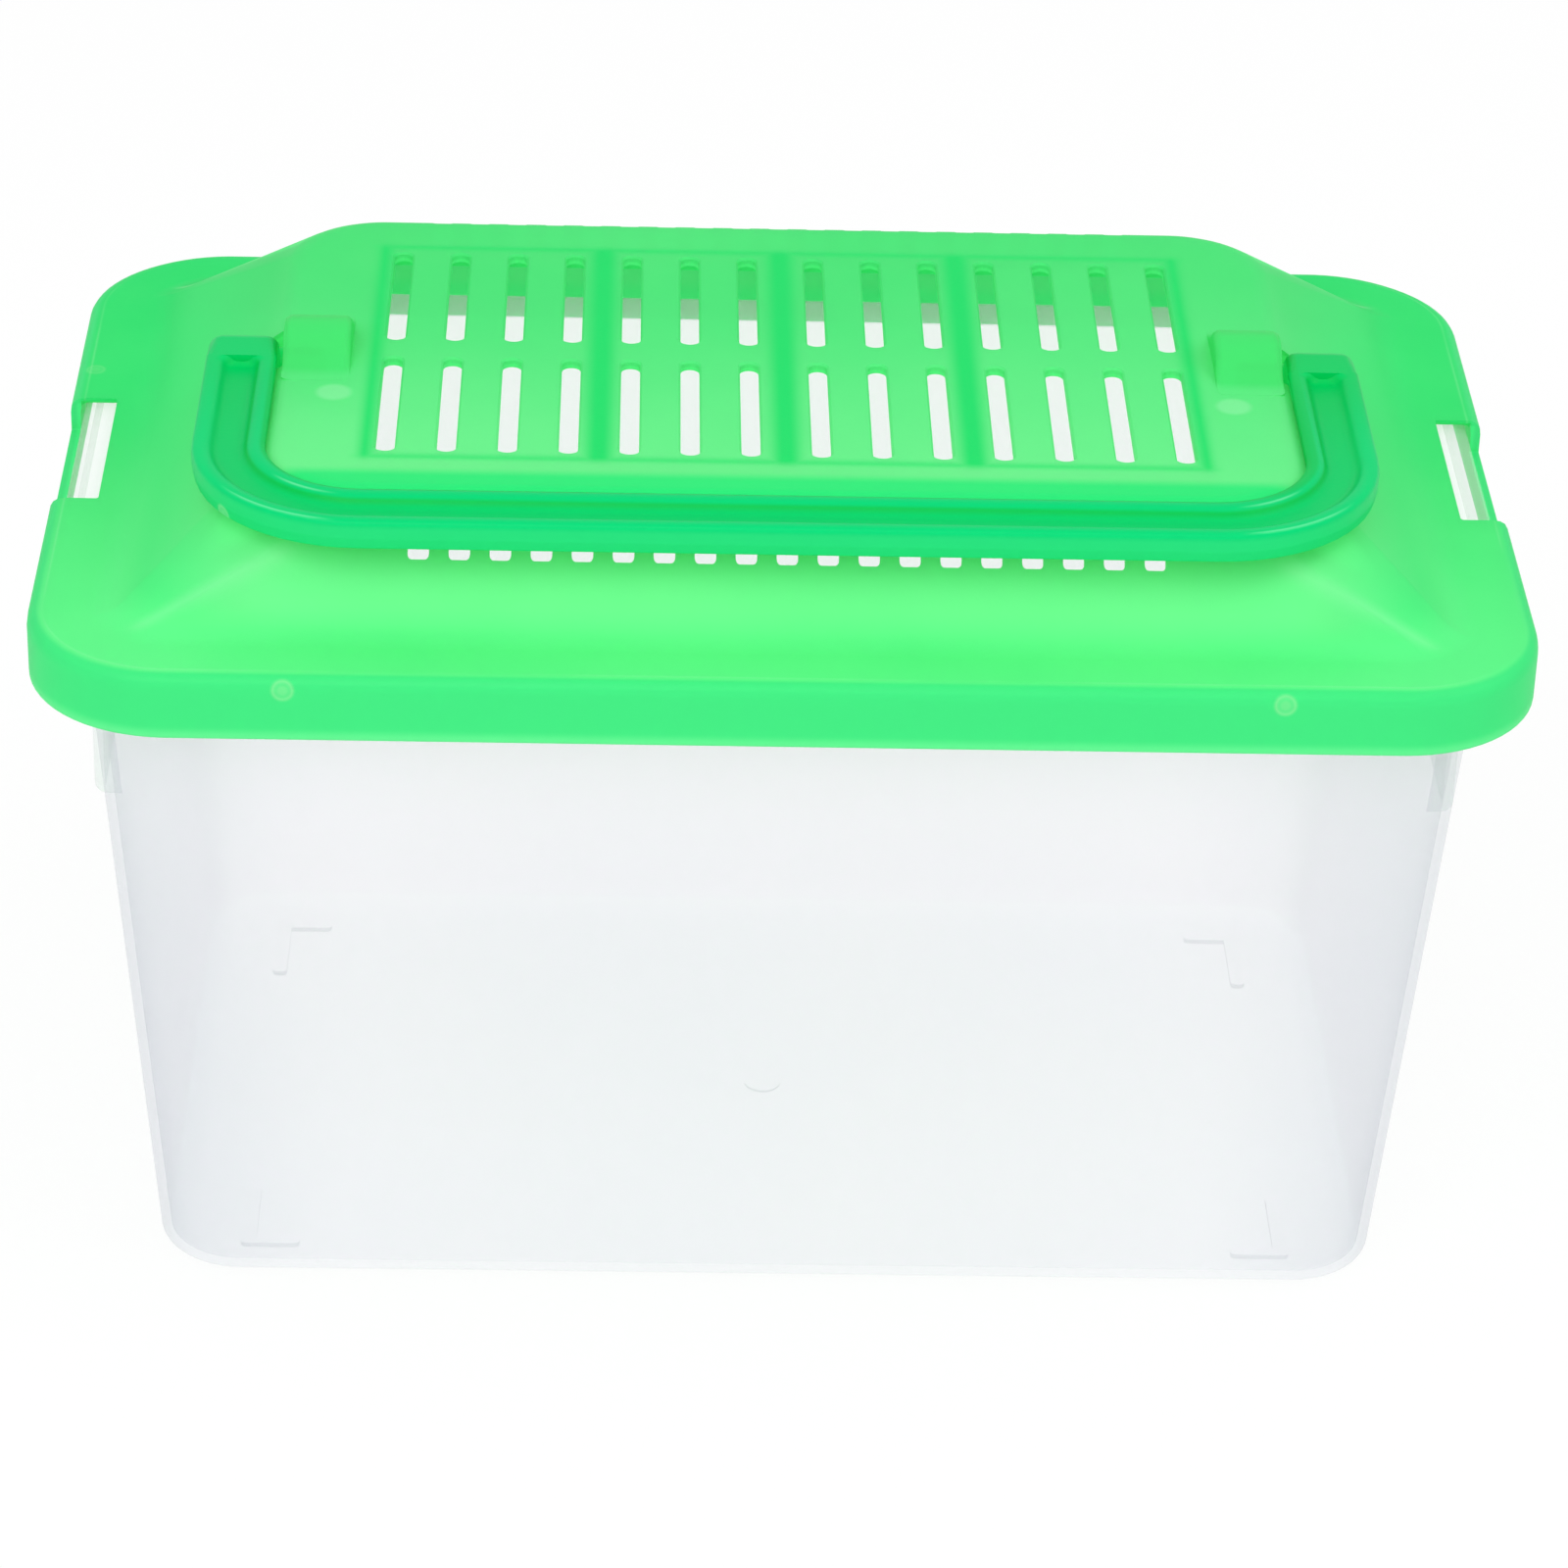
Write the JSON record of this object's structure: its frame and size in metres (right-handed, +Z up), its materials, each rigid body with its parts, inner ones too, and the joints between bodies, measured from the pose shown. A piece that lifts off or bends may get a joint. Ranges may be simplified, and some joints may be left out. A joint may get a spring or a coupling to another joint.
{
  "type": "pet keeper",
  "caption": "Frosted clear plastic carry box for small animals with a lift-off slotted green lid and a swinging carrying handle.",
  "frame": {"origin": "centre of the footprint, on the surface that the feet stand on", "axes": "+X along the length, +Y to the back, away from the bar of the folded handle, +Z up"},
  "size_m": [0.24, 0.1562, 0.1493],
  "materials": {
    "tub": "frosted clear polypropylene, softly glossy",
    "lid": "translucent green polypropylene, softly glossy",
    "handle": "green polypropylene, glossy"
  },
  "bodies": {
    "tub": {"tub": "tub"},
    "lid": {"lid": "lid"},
    "handle": {"handle": "handle"}
  },
  "joints": [
    {"name": "lid_lift", "type": "slide", "parent": "tub", "child": "lid", "axis": [0, 0, 1], "range_m": [0, 0.06]},
    {"name": "handle_swing", "type": "hinge", "parent": "lid", "child": "handle", "pos_m": [0, 0, 0.1415], "axis": [-1, 0, 0], "range_deg": [0, 120]}
  ]
}
